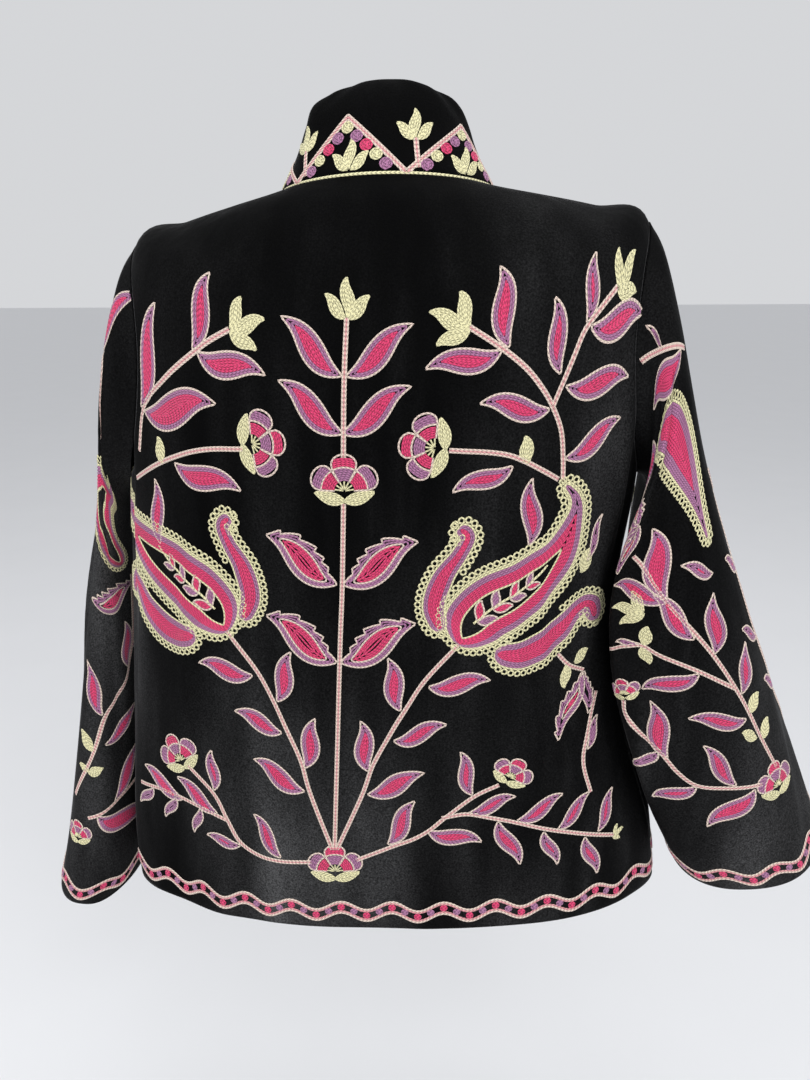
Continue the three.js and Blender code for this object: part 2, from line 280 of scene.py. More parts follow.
def collar_point(angle, place):
    """A point of the collar, over the neck's edge at an angle round the body."""
    angle, place = np.broadcast_arrays(angle, place)
    seam = body_point(angle, np.full(angle.shape, float(NECK)))
    inward = -seam * (1, 1, 0)
    inward /= np.linalg.norm(inward, axis=-1, keepdims=True)
    height = 1 - (1 - COLLAR_FRONT_RISE) * (1 - np.cos(angle)) / 2
    crease = folds_at(COLLAR_CREASES, np.degrees(angle), place)
    point = seam + inward * (through(COLLAR["inset"], place) + crease)[..., None]
    lap = SEAM_LAP * np.maximum(0, 1 - place / LAP_END)
    point[..., 2] += SEAM_GAP + CLOTH / 2 + through(COLLAR["rise"], place) * height - lap
    point[..., 1] -= through(COLLAR["lean"], place)
    return point


def normals(surface, u, v):
    """The directions square to a surface."""
    along = surface(u + SMALL, v) - surface(u - SMALL, v)
    up = surface(u, v + SMALL) - surface(u, v - SMALL)
    normal = np.cross(along, up)
    return normal / np.maximum(np.linalg.norm(normal, axis=-1, keepdims=True), 1e-12)


def between(x, xs, ys):
    """np.interp, for columns that fall as well as those that rise."""
    way = 1 if xs[-1] > xs[0] else -1
    return np.interp(x, xs[::way], ys[::way])


class Chart:
    """Places on a surface as (right, up) in millimetres, as seen from outside it.

    Right is measured along each row from the column where u is middle. Up is measured along that
    column from where v is top."""

    def __init__(self, surface, u_range, v_range, middle, top, columns=260, rows=170):
        self.surface = surface
        self.u = np.linspace(*u_range, columns)
        self.v = np.linspace(*v_range, rows)
        grid = surface(self.u[None, :], self.v[:, None])
        step = np.linalg.norm(np.diff(grid, axis=1), axis=-1)
        along = np.concatenate([np.zeros((rows, 1)), np.cumsum(step, axis=1)], axis=1)
        start = np.array([between(middle, self.u, row) for row in along])
        self.right = along - start[:, None]
        column = surface(np.full(rows, middle), self.v)
        rise = np.concatenate([[0], np.cumsum(np.linalg.norm(np.diff(column, axis=0), axis=-1))])
        self.up = rise - between(top, self.v, rise)
        self.outward = 1.0
        points, away = self.points_normals(self.u[None, ::9], self.v[::9, None])
        centre = points.reshape(-1, 3).mean(0)
        if ((points - centre) * away).sum() < 0:
            self.outward = -1.0

    def points_normals(self, u, v):
        """The surface's points and outward normals."""
        return self.surface(u, v), self.outward * normals(self.surface, u, v)

    def places(self, right, up):
        """u, v and whether the place is on the chart."""
        v = between(up, self.up, self.v)
        at = between(v, self.v, np.arange(len(self.v)))
        low = np.minimum(at.astype(int), len(self.v) - 2)
        u = np.empty(len(right))
        for row in np.unique(low):
            here = low == row
            share = (at - low)[here]
            below = np.interp(right[here], self.right[row], self.u)
            above = np.interp(right[here], self.right[row + 1], self.u)
            u[here] = below * (1 - share) + above * share
        inside = (right > self.right[low, 0]) & (right < self.right[low, -1])
        inside &= (up > self.up.min()) & (up < self.up.max())
        return u, v, inside


# ---- Fine creases that only the look has ----

BACK_CREASES = table(
    FOLD,
    (-6, 5, 2.4, -1, 6, 1),
    (-30, 6, 3.4, 0, 7, 1.5),
    (-41, 5, -3.2, 1, 7, 2),
    (-58, 5, 3.6, 2.5, 7.2, -2.5),
    (24, 6, -2.4, -1, 5, -1),
    (38, 5, 3, 1.5, 6.5, -2),
    (66, 6, -3.2, 2.5, 7, 2),
    (-70, 5, -3.2, -1, 3.5, 2),
    (128, 6, 2, -1, 5.5, 1.5),
    (156, 6, -1.8, 0, 6.5, -1),
    (-136, 6, 2.2, -1, 5, -1.5),
    (-160, 6, -1.6, 0, 6, 1),
)
LEFT_CREASES = table(
    FOLD,
    (78, 14, 3.6, 1, 4.6, 14),
    (100, 13, -3.4, 2, 5.6, 16),
    (48, 12, 3.4, 4.4, 7.6, -14),
    (136, 14, 3, 4.6, 8.4, 10),
    (20, 14, -3, 6.2, 10.6, -8),
    (230, 16, 2.4, 2, 6, 12),
    (318, 15, -2.2, 3, 8, -10),
)
RIGHT_CREASES = table(
    FOLD,
    (128, 13, 4, 0.6, 4.4, 16),
    (88, 12, -3.6, 1.4, 5, 14),
    (150, 13, -4, 2.4, 6.6, -12),
    (56, 13, 3.8, 4, 7.4, -14),
    (120, 12, 3.8, 5, 9.6, 10),
    (100, 12, -3.4, 4.4, 8.4, 12),
    (22, 14, -3.2, 6.2, 10.4, 8),
    (240, 16, 2.2, 2, 6, -12),
    (320, 15, -2.4, 3, 8, 10),
)
COLLAR_CREASES = table(
    FOLD,
    (-58, 16, 3.5, 2, 6.5, 6),
    (-22, 16, -2.5, 3.5, 7, 8),
    (28, 15, 3, 3, 7, -7),
    (62, 17, -3, 1.5, 6.5, 5),
    (118, 16, 2.5, 2, 6.5, 4),
    (-120, 16, -2.5, 2, 6.5, -4),
)

body_surface = partial(body_point, creases=BACK_CREASES)
left_surface = partial(sleeve_point, 1, LEFT_SLEEVE, LEFT_SLEEVE_FOLDS, creases=LEFT_CREASES)
right_surface = partial(sleeve_point, -1, RIGHT_SLEEVE, RIGHT_SLEEVE_FOLDS, creases=RIGHT_CREASES)


# ---- Stitches ----

PITCH = 1.7  # from one row of chain stitch to the next
ROW_WIDE = 1.5  # a row of chain stitch
ROW_STEP = 1.8  # a row's length between two points
ROW_LEAST = 0.5  # a shorter row is left out
STITCH = 3.4  # one chain stitch's length
LIFT_EDGE, LIFT_ROW = 0.25, 0.95  # a row's edges and its middle, over the cloth
REST = 99.0  # a band that goes on to the middle
RIPPLE_DEPTH = 5.5  # how far in a toothed edge still shows in the rows


def smooth(points, per=10):
    """A smooth path through a few points."""
    points = np.asarray(points, float)
    t = np.linspace(0, len(points) - 1, (len(points) - 1) * per + 1)
    return np.stack([through(column, t) for column in points.T], 1)


def resample(path, step):
    """The same path in even steps."""
    along = np.concatenate([[0], np.cumsum(np.linalg.norm(np.diff(path, axis=0), axis=1))])
    even = np.linspace(0, along[-1], max(2, int(round(along[-1] / step)) + 1))
    return np.stack([np.interp(even, along, column) for column in path.T], 1)


def across(path):
    """The unit direction to the left of a path, at each of its points."""
    way = np.gradient(path, axis=0)
    way /= np.maximum(np.linalg.norm(way, axis=1, keepdims=True), 1e-9)
    return np.stack([-way[:, 1], way[:, 0]], 1)


class Stitches:
    """Rows of chain stitch on one piece of cloth, each a raised ribbon on its chart."""

    def __init__(self, chart):
        self.chart, self.rows = chart, []

    def row(self, path, colour, width=ROW_WIDE):
        """Adds a row of one colour along a path."""
        path = np.asarray(path, float)
        if np.abs(np.diff(path, axis=0)).sum() > ROW_LEAST:
            self.rows.append((resample(path, ROW_STEP), list(PAINTS).index(colour), width))

    def mesh(self, name):
        """All rows as one mesh, less what would lie beyond the cloth's edges."""
        flat, lift, uv, quads, paint, count = [], [], [], [], [], 0
        for path, colour, width in self.rows:
            side = across(path) * width / 2
            n = len(path)
            flat.append(np.stack([path + side, path, path - side], 1).reshape(-1, 2))
            lift.append(np.tile([LIFT_EDGE, LIFT_ROW, LIFT_EDGE], n))
            along = np.arange(n) * ROW_STEP / STITCH
            uv.append(np.stack([np.repeat(along, 3), np.tile([0, 0.5, 1], n)], 1))
            first = count + 3 * np.arange(n - 1)
            for k in (0, 1):
                quads.append(np.stack([first + k, first + k + 1, first + k + 4, first + k + 3], 1))
                paint.append(np.full(n - 1, colour))
            count += 3 * n
        flat, lift, uv, quads, paint = map(np.concatenate, (flat, lift, uv, quads, paint))
        u, v, inside = self.chart.places(flat[:, 0], flat[:, 1])
        point, normal = self.chart.points_normals(u, v)
        point = point + normal * (CLOTH / 2 + lift)[:, None]
        kept = inside[quads].all(1)
        return mesh_object(name, point, quads[kept], THREADS, uv, paint[kept])


def mesh_object(name, points, faces, materials, uv=None, paint=None):
    """A smooth mesh from arrays in millimetres."""
    used, index = np.unique(faces, return_inverse=True)
    faces = index.reshape(faces.shape)
    mesh = bpy.data.meshes.new(name)
    mesh.from_pydata((points[used] * MM).tolist(), [], faces.tolist())
    for material in materials:
        mesh.materials.append(material)
    if paint is not None:
        mesh.polygons.foreach_set("material_index", paint.astype(np.int32))
    if uv is not None:
        layer = mesh.uv_layers.new(name="UVMap")
        layer.data.foreach_set("uv", uv[used][faces.ravel()].astype(np.float32).ravel())
    mesh.polygons.foreach_set("use_smooth", np.ones(len(faces), bool))
    mesh.update()
    obj = bpy.data.objects.new(name, mesh)
    bpy.context.scene.collection.objects.link(obj)
    return obj


# ---- Motifs, each drawn from a few named sizes ----

LEAF_BANDS = (("ivory", 1.3), ("mauve", 3.4), ("pink", REST))
TOOTHED_BANDS = (("ivory", 1.3), ("mauve", 3.6), ("ivory", 1.2), ("pink", REST))
CREAM_BANDS = (("cream", REST),)
LEAF_SHARE, SMALL_SHARE = 0.155, 0.28  # a leaf's and a small cream leaf's half width over its length
LEAF_BEND = 0.055  # how far its spine bends over its length
TOOTH, TEETH_SIDE = 0.075, 0.8  # a tooth over the leaf's length, and the other side's share of the width
TEETH = 6  # along one side of a toothed leaf
LEAST_HALF = 0.05  # the half width at a leaf's ends

# Half widths along a drop and along a hooked lobe, as shares of the largest.
DROP = np.array([0.86, 0.94, 0.99, 1, 0.96, 0.87, 0.73, 0.55, 0.37, 0.24, 0.16])
LOBE = np.array([0.7, 0.85, 0.96, 1, 1, 0.94, 0.84, 0.76, 0.72, 0.72, 0.7])


def band_at(bands, inset):
    """The colour so far in from an outline, or None past the last band."""
    for colour, wide in bands:
        if inset < wide:
            return colour
        inset -= wide
    return None


def fill(st, spine, left, right, bands, ripple=None):
    """Rows that follow a shape's outline, from the outside in. left and right are its half widths.

    A ripple adds to the left half width, and fades out in the rows further in."""
    side = across(spine)
    inset = PITCH / 2
    while inset < max(left.max(), right.max()):
        colour = band_at(bands, inset)
        kept = (left > inset) & (right > inset)
        if colour is None or kept.sum() < 3:
            break
        extra = 0 if ripple is None else ripple * max(0, 1 - inset / RIPPLE_DEPTH)
        one = (spine + side * (left - inset + extra)[:, None])[kept]
        other = (spine - side * (right - inset)[:, None])[kept][::-1]
        st.row(np.concatenate([one, other, one[:1]]), colour)
        inset += PITCH
    if bands[-1][1] == REST:
        rim = sum(wide for _, wide in bands[:-1])
        kept = np.minimum(left, right) > rim + PITCH / 2
        if kept.sum() > 3:
            st.row((spine + side * ((left - right) / 2)[:, None])[kept], bands[-1][0])


def leaf_spine(base, tip, bend):
    """From base to tip in a shallow S, first to the left where bend is more than 0."""
    base, tip = np.asarray(base, float), np.asarray(tip, float)
    t = np.linspace(0, 1, 60)[:, None]
    way = tip - base
    return base + way * t + np.array([-way[1], way[0]]) * bend * np.sin(2 * np.pi * t)


def leaf(st, base, tip, share=LEAF_SHARE, bands=LEAF_BANDS, teeth=0):
    """A pointed leaf. Teeth make its upper edge jagged."""
    rightward = tip[0] > base[0]
    spine = leaf_spine(base, tip, -LEAF_BEND if rightward else LEAF_BEND)
    t = np.linspace(0, 1, len(spine))
    length = np.hypot(tip[0] - base[0], tip[1] - base[1])
    half = share * length * np.sin(np.pi * t**0.88) + LEAST_HALF
    if not teeth:
        fill(st, spine, half, half, bands)
        return
    saw = 1 - (teeth * t) % 1
    ripple = TOOTH * length * (saw - 0.3) * np.minimum(1, 6 * t) * np.minimum(1, 6 * (1 - t))
    if not rightward:
        spine, half, ripple = spine[::-1], half[::-1], ripple[::-1]
    fill(st, spine, half, half * TEETH_SIDE, TOOTHED_BANDS, ripple)


def leaves(st, *rows, place=np.array, **look):
    """Leaves alike, each given as its base and its tip: right, up, right, up."""
    for row in rows:
        leaf(st, place(row[:2]), place(row[2:]), **look)


def leaflets(st, *rows):
    leaves(st, *rows, share=SMALL_SHARE, bands=CREAM_BANDS)


def turned(vector, degrees):
    cosine, sine = np.cos(np.radians(degrees)), np.sin(np.radians(degrees))
    return np.array([vector[0] * cosine - vector[1] * sine, vector[0] * sine + vector[1] * cosine])


# A bud's petals: turn in degrees, length over the bud's, and half width over length.
BUD_PETALS = ((46, 0.84, 0.195), (-46, 0.84, 0.195), (0, 1.05, 0.165))
STEM_APART = 1.2  # between a stem's rows


def bud(st, base, tip):
    """A cream bud of three petals."""
    base = np.asarray(base, float)
    way = np.asarray(tip, float) - base
    for degrees, length, share in BUD_PETALS:
        leaf(st, base, base + turned(way, degrees) * length, share, CREAM_BANDS)


def stem(st, *points):
    """A stem: two cream rows with a pale pink one between them."""
    path = smooth(points)
    side = across(path)
    for off, colour in ((-STEM_APART, "ivory"), (0, "blush"), (STEM_APART, "ivory")):
        st.row(path + side * off, colour)


ARC_POINTS = 14
PETAL_TURN, PETAL_HALF = 60.0, 29.0  # between two petals, and half a petal, in degrees
BLOCK_INSET, CAP_INSET = 4.0, 3.0  # how far a petal's colours stay inside its sides, in degrees

# A flower's radii over its size: the fan, a petal's inner block, the line over it, and the outer cap.
FAN_START, FAN_END = 0.03, 0.27
BLOCK_START, BLOCK_END = 0.31, 0.62
PETAL_LINE, PETAL_BULGE = 0.65, 0.36
CAP_START, CAP_END = 0.71, 0.95
CAP_BASE, CAP_HIGH = 0.64, 0.35
FLOWER_BACK = 0.42  # from a flower's centre back to its heart
FAN_RAYS, FAN_TURN = 7, 82.0
CALYX = ((0.0, -0.30), (0.45, -0.20), (0.92, 0.0))  # a leaf under a flower: out and ahead
CALYX_SHARE = 0.19


def arc(middle, radius, start=0, end=360, points=ARC_POINTS):
    """An arc or a circle round a point, with one radius or one for each of its points."""
    angle = np.radians(np.linspace(start, end, points))
    return middle + np.reshape(radius, (-1, 1)) * np.stack([np.cos(angle), np.sin(angle)], 1)


def petal(st, heart, middle, size, block, cap):
    """One petal: an inner block and an outer cap, each inside a pale line."""
    start, end = middle - PETAL_HALF, middle + PETAL_HALF
    for radius in np.arange(BLOCK_START * size, BLOCK_END * size, PITCH):
        st.row(arc(heart, radius, start + BLOCK_INSET, end - BLOCK_INSET), block)
    for radius in np.arange(CAP_START * size, CAP_END * size, PITCH):
        share = np.sqrt(max(0.02, 1 - ((radius - CAP_BASE * size) / (CAP_HIGH * size)) ** 2))
        wide = (PETAL_HALF - CAP_INSET) * share
        st.row(arc(heart, radius, middle - wide, middle + wide), cap)
    st.row(arc(heart, PETAL_LINE * size, start, end), "ivory")
    bulge = np.sqrt(np.maximum(0, 1 - np.linspace(-1, 1, ARC_POINTS) ** 2))
    st.row(arc(heart, size * (PETAL_LINE + PETAL_BULGE * bulge), start, end), "ivory")
    for edge in (start, end):
        ray = turned((1, 0), edge)
        st.row([heart + ray * size * FAN_END, heart + ray * size * (PETAL_LINE + 0.01)], "ivory")


def flower(st, centre, facing, size):
    """A side-on flower: three petals of two colours round a fan, over two cream leaves.

    facing is the direction it opens to, in degrees, and size its largest radius."""
    centre = np.asarray(centre, float)
    way = turned((1, 0), facing)
    heart = centre - way * size * FLOWER_BACK
    petal(st, heart, facing + PETAL_TURN, size, "pink", "mauve")
    petal(st, heart, facing - PETAL_TURN, size, "pink", "mauve")
    petal(st, heart, facing, size, "mauve", "pink")
    for ray in np.linspace(-FAN_TURN, FAN_TURN, FAN_RAYS):
        tip = turned((1, 0), facing + ray)
        st.row([heart + tip * size * FAN_START, heart + tip * size * FAN_END], "cream", 1.2)
    for side in (-1, 1):
        out = turned(way, 90 * side)
        spine = smooth([heart + (out * right + way * ahead) * size for right, ahead in CALYX])
        along = np.linspace(0.04, 1, len(spine))
        half = CALYX_SHARE * size * np.sin(np.pi * along**0.8) + LEAST_HALF
        fill(st, spine, half, half, CREAM_BANDS)


RING_OUT, RING_APART, RING_RADIUS = 2.9, 5.3, 2.3


def rings(st, path, outward, start, end):
    """A looped edging: a row of small rings beside a path, between two shares of it."""
    beside = path + across(path) * outward * RING_OUT
    beside = beside[int(start * len(path)) : int(end * len(path)) + 1]
    for middle in resample(beside, RING_APART):
        st.row(arc(middle, RING_RADIUS, points=9), "cream")


LOBE_STEP = 1.2  # between two points of a lobe's spine


def lobe(st, spine, half, profile, bands, edging):
    """A filled shape along a spine, round at both ends.

    edging has a looped edging's parts: the left side (1) or the right (-1), and the shares of the
    spine between which it goes."""
    spine = resample(smooth(spine), LOBE_STEP)
    t = np.linspace(0, 1, len(spine))
    wide = half * through(profile, t * (len(profile) - 1))
    length = LOBE_STEP * len(spine)
    for end, share in ((t, profile[0]), (1 - t, profile[-1])):
        near = np.minimum(1, end * length / (half * share))
        wide = wide * np.sqrt(np.maximum(0, 1 - (1 - near) ** 2))
    fill(st, spine, wide, wide, bands)
    side = across(spine)
    for sign, start, end in edging:
        rings(st, spine + side * (wide * sign)[:, None], sign, start, end)


def dot(st, middle, colour, radius):
    """A round dot, its rows going round and one thick row over its middle."""
    for inner in np.arange(radius - PITCH / 2, PITCH / 2, -PITCH):
        st.row(arc(middle, inner, points=12), colour)
    st.row(np.array([(-PITCH, 0), (PITCH, 0)]) + middle, colour, 2 * PITCH)


WAVE_LENGTH, WAVE_HEIGHT = 46.0, 4.2
BAND_HALF, BAND_LINE = 5.775, 1.8  # from a band's middle to its outer lines, and a line's width
DOTS_A_WAVE, BAND_DOT = 4, 3.6


def wavy_band(st, start, end, up):
    """Two wavy double lines with a row of dots between them."""
    right = np.arange(start, end, 2.0)
    wave = WAVE_HEIGHT * np.sin(2 * np.pi * right / WAVE_LENGTH)
    for off, colour in ((1, "ivory"), (0.7, "blush"), (-0.7, "blush"), (-1, "ivory")):
        st.row(np.stack([right, up + wave + off * BAND_HALF], 1), colour, BAND_LINE)
    step = WAVE_LENGTH / DOTS_A_WAVE
    for k in range(int(start / step), int(end / step) + 1):
        height = up + WAVE_HEIGHT * np.sin(2 * np.pi * k / DOTS_A_WAVE)
        dot(st, (k * step, height), "pink" if k % 2 else "mauve", BAND_DOT)


# ---- The pattern on the back, in millimetres right and up on the cloth ----

MIDDLE_TOP = np.array([-17.0, -79.0])  # the pattern's middle line leans with the jacket
MIDDLE_WAY = np.array([-0.046, -0.9989])
HEM_UP, CUFF_UP = 17.0, 15.0  # the bands' middles over the edges


def mirrored(points):
    """Points reflected over the pattern's middle line."""
    away = np.asarray(points, float) - MIDDLE_TOP
    return MIDDLE_TOP + 2 * (away @ MIDDLE_WAY)[..., None] * MIDDLE_WAY - away


# A paisley's drop, which differs on the left, the hook over it and the foot under it.
PAISLEY = [(66, -366), (88, -338), (122, -320), (149, -297), (160, -270), (160, -254), (150, -241)]
LEFT_PAISLEY = [(66, -366), (88, -341), (118, -325), (152, -313), (185, -300), (208, -286), (222, -270)]
HOOK = [(53, -354), (47, -332), (54, -308), (67, -289), (73, -275), (65, -267)]
FOOT = [(96, -375), (124, -378), (153, -366), (171, -351), (186, -348), (192, -364)]
PAISLEY_HALF, HOOK_HALF, FOOT_HALF = 29, 10, 13.5
PAISLEY_BANDS = (("cream", 3.4), ("mauve", 5.4), ("pink", 7.6), ("cream", 1.7))
HOOK_BANDS = (("cream", 2.0), ("mauve", 3.4), ("pink", REST))
FOOT_BANDS = (("cream", 1.7), ("mauve", 5.1), ("pink", REST))
SPRIG = [(79, -348), (100, -331), (122, -319), (139, -305)]  # the stem inside the drop
SPRIG_SHARES = (0.04, 0.24, 0.44, 0.62)  # where its leaves start
BOTH_SIDES = ((1, 0, 1), (-1, 0, 1))


def paisley(st, place, turn):
    """A drop with a sprig inside and a hooked lobe on each side. turn is -1 where it is mirrored."""
    drop = PAISLEY if turn > 0 else LEFT_PAISLEY
    lobe(st, place(drop), PAISLEY_HALF, DROP, PAISLEY_BANDS, BOTH_SIDES)
    sprig(st, smooth(place(SPRIG)))
    lobe(st, place(HOOK), HOOK_HALF, LOBE, HOOK_BANDS, ((turn, 0, 1), (-turn, 0.62, 1)))
    lobe(st, place(FOOT), FOOT_HALF, LOBE, FOOT_BANDS, ((-turn, 0, 1), (turn, 0.66, 1)))


def sprig(st, path):
    """A cream stem with pairs of small leaves, the pairs smaller towards its end."""
    st.row(path, "cream", 2.0)
    side = across(path)
    for step, share in enumerate(SPRIG_SHARES):
        k = int(share * len(path))
        ahead = np.array([side[k, 1], -side[k, 0]])
        for sign in (-1, 1):
            inner = "pink" if (step + (sign > 0)) % 2 else "mauve"
            tip = path[k] + ahead * (16 - step) + side[k] * sign * (11.5 - 1.5 * step)
            leaf(st, path[k], tip, 0.23, (("ivory", 1.1), (inner, REST)))


MIDDLE_LEAVES = ((-20, -150, 33, -114), (-24, -192, 32, -158))
MIDDLE_TOOTHED = ((-26, -313, 37, -277), (-30, -381, 35, -346))
BRANCH = [(-37, -557), (-14, -504), (-4, -475), (10, -448), (23, -424), (41, -396), (68, -365)]
BRANCH_LEAVES = ((21, -424, 9, -374), (42, -402, 96, -400), (-7, -482, -15, -432), (13, -451, 61, -438))


def back_pattern(st):
    stem(st, (-39, -557), (-32, -414), (-29, -360), (-26, -313), (-23, -246))
    stem(st, (-22, -210), (-20, -150), (-18, -108))
    bud(st, (-18, -109), (-17, -79))
    flower(st, (-22, -224), 90, 28)
    flower(st, (-39, -568), 90, 26)
    for turn, place in ((1, np.array), (-1, mirrored)):
        leaves(st, *MIDDLE_LEAVES, place=place)
        leaves(st, *MIDDLE_TOOTHED, share=0.21, teeth=TEETH, place=place)
        paisley(st, place, turn)
        stem(st, *place(BRANCH))
        leaves(st, *BRANCH_LEAVES, (-10, -503, 42, -482), share=0.17, place=place)
    right_branches(st)
    left_branches(st)


def right_branches(st):
    upper = [(148, -238), (147, -222), (144, -201), (136, -183), (127, -169), (115, -155), (97, -140)]
    stem(st, *upper, (72, -122))
    bud(st, (73, -122), (42, -108))
    stem(st, (136, -183), (143, -169), (152, -152), (161, -139), (176, -130), (190, -124))
    bud(st, (190, -125), (214, -112))
    stem(st, (144, -237), (116, -220), (96, -212), (58, -207))
    flower(st, (36, -203), 172, 27)
    leaves(
        st,
        (102, -141, 93, -83), (97, -140, 38, -148), (135, -184, 78, -175), (161, -137, 174, -97),
        (164, -138, 222, -144), (142, -163, 135, -114), (145, -170, 206, -175),
        (147, -222, 200, -200), (107, -221, 59, -241), (121, -287, 123, -231),
    )
    leaf(st, (119, -222), (114, -200), 0.26, CREAM_BANDS)
    stem(st, (-20, -568), (8, -556), (42, -539), (58, -526), (82, -508), (104, -498))
    flower(st, (117, -484), 60, 19)
    stem(st, (55, -526), (76, -524), (99, -530), (131, -539), (157, -548), (193, -561), (213, -568))
    bud(st, (212, -568), (226, -566))
    leaves(
        st,
        (7, -553, 34, -506), (42, -537, 92, -554), (82, -507, 69, -462), (77, -523, 121, -510),
        (119, -534, 163, -513), (155, -547, 189, -518), (195, -560, 214, -521),
        (104, -532, 124, -580), (144, -545, 157, -583), (183, -559, 196, -602),
    )
    stem(st, (155, -386), (167, -399), (182, -407))
    leaf(st, (171, -398), (187, -388), 0.26, CREAM_BANDS)
    leaf(st, (163, -397), (163, -420), 0.22, CREAM_BANDS)
    leaf(st, (183, -407), (186, -450), 0.17, teeth=TEETH)
    leaf(st, (181, -407), (155, -466), 0.15, teeth=TEETH)
    stem(st, (196, -430), (184, -470), (181, -492), (188, -519))
    leaf(st, (184, -480), (199, -450), 0.15)
    leaf(st, (176, -310), (190, -268), 0.1)
    leaf(st, (172, -318), (180, -297), 0.3, CREAM_BANDS)


def left_branches(st):
    stem(st, (-214, -218), (-203, -185), (-174, -162), (-142, -142), (-129, -134), (-110, -124))
    bud(st, (-110, -124), (-80, -114))
    stem(st, (-222, -240), (-178, -220), (-139, -208), (-102, -205))
    flower(st, (-83, -200), 5, 27)
    leaves(
        st,
        (-144, -142, -127, -88), (-208, -186, -182, -120), (-140, -141, -79, -152),
        (-203, -187, -121, -174), (-168, -220, -104, -239), (-190, -289, -193, -234),
    )
    leaf(st, (-180, -223), (-186, -202), 0.26, CREAM_BANDS)
    stem(st, (-60, -570), (-89, -572), (-112, -570), (-129, -559), (-140, -537), (-152, -513), (-177, -490))
    flower(st, (-190, -477), 118, 25)
    stem(st, (-140, -538), (-168, -530), (-205, -524), (-246, -528))
    leaves(
        st,
        (-87, -569, -116, -528), (-127, -562, -165, -558), (-152, -511, -150, -468),
        (-148, -533, -194, -504), (-186, -527, -240, -507), (-196, -526, -214, -556),
        (-168, -530, -178, -562), (-226, -526, -250, -552),
    )


# ---- The patterns on the other pieces ----


def spray(st, foot, head, count, size, twist=1):
    """A curved stem with leaves on alternate sides and a bud at its end. twist is 1 or -1."""
    foot, head = np.asarray(foot, float), np.asarray(head, float)
    way = head - foot
    side = np.array([-way[1], way[0]]) * 0.1 * twist
    path = smooth([foot, foot + way * 0.33 + side, foot + way * 0.7 + side * 0.6, head])
    stem(st, *path[::6])
    length = np.hypot(*way)
    for k in range(count):
        at = path[int((0.12 + 0.76 * k / count) * len(path))]
        turn = 52 * (1 if k % 2 else -1) * twist
        leaf(st, at, at + turned(way / length, turn) * size)
    bud(st, head, head + way / length * size * 0.5)


def front_pattern(st, side):
    """Sprays up a front panel. side is 1 where the panel's free edge is on the left."""

    def at(points):
        return [(side * x, y) for x, y in points]

    foot, middle, top = at([(72, -510), (120, -330), (95, -120)])
    spray(st, foot, middle, 7, 46, side)
    spray(st, middle, top, 5, 42, -side)
    low, out = at([(92, -516), (205, -460)])
    spray(st, low, out, 5, 40, side)
    left, right = at([(40, -440), (45, -230)])
    spray(st, left, right, 6, 38, side)
    flower(st, at([(76, -522)])[0], 90, 20)


def right_sleeve_pattern(st):
    """A drop at the head, a long stem down to a flower, and sprays on the far sides."""
    stem(st, (-68, -5), (-57, -14), (-28, -41), (2, -70))
    leaf(st, (-98, -112), (-100, -40), 0.13)
    leaf(st, (-42, -28), (-42, -4))
    leaf(st, (-8, -62), (-92, -26), 0.13)
    bands = (("cream", 2.2), ("mauve", 6.0), ("pink", REST))
    drop = [(-66, -72), (-46, -88), (-31, -116), (-20, -150), (-13, -184), (-8, -216)]
    lobe(st, drop, 17, DROP, bands, BOTH_SIDES)
    for tip in ((-108, -140), (-84, -124), (-108, -190), (-90, -210)):
        leaf(st, (-66, -168), tip, 0.2, teeth=TEETH)
    stem(st, (-72, -200), (-66, -214), (-56, -251), (-31, -309), (-16, -358), (-8, -400), (0, -436))
    flower(st, (-4, -444), 84, 24)
    stem(st, (-110, -284), (-87, -287), (-74, -297), (-47, -318), (-20, -345))
    low = [(-111, -338), (-113, -352), (-107, -373), (-95, -392), (-86, -415), (-74, -430), (-51, -436)]
    stem(st, *low, (-21, -442))
    flower(st, (-109, -326), 90, 15)
    leaves(
        st,
        (-55, -250, -55, -178), (-55, -252, -97, -217), (-42, -290, -66, -240),
        (-31, -309, -17, -254), (-16, -354, 6, -311), (-45, -320, -96, -333),
        (-84, -286, -106, -278), (-90, -401, -90, -341), (-95, -392, -124, -412),
        (-74, -430, -116, -444), (-42, -436, -61, -388), (-28, -443, -79, -476),
        (-16, -376, -67, -362), (-10, -243, -41, -222),
    )
    leaflets(
        st,
        (-84, -288, -74, -270), (-84, -289, -82, -308), (-14, -372, 4, -360),
        (-12, -398, -26, -386), (-8, -402, 8, -388),
    )
    bud(st, (-74, -256), (-100, -242))
    spray(st, (68, -440), (60, -120), 9, 36)
    spray(st, (-200, -420), (-215, -160), 8, 36)


def left_sleeve_pattern(st):
    """A drop near the head, a long stem down to a flower, and sprays on the far sides."""
    leaf(st, (8, -54), (10, 8), 0.17)
    stem(st, (50, -90), (30, -50), (8, -56))
    bands = (("cream", 2.2), ("mauve", 4.6), ("pink", 6.5), ("cream", 1.6))
    drop = [(72, -214), (52, -190), (46, -160), (62, -128), (92, -104), (100, -84)]
    lobe(st, drop, 26, DROP, bands, ((1, 0, 0.97), (-1, 0, 0.97)))
    leaf(st, (20, -284), (88, -240), 0.15, teeth=TEETH)
    stem(st, (84, -230), (77, -310), (67, -352), (50, -386), (40, -406), (32, -451), (13, -508))
    stem(st, (100, -500), (57, -513), (33, -526))
    flower(st, (22, -545), 100, 18)
    leaves(
        st,
        (66, -352, 64, -290), (39, -404, 16, -352), (41, -438, 84, -404), (58, -511, 90, -455),
        (42, -520, 108, -560), (72, -330, 112, -300), (84, -250, 120, -230),
    )
    leaflets(st, (34, -446, 14, -432), (30, -470, 16, -470), (28, -474, 44, -464))
    spray(st, (190, -520), (160, -180), 9, 36)
    spray(st, (-58, -520), (-52, -120), 10, 38)


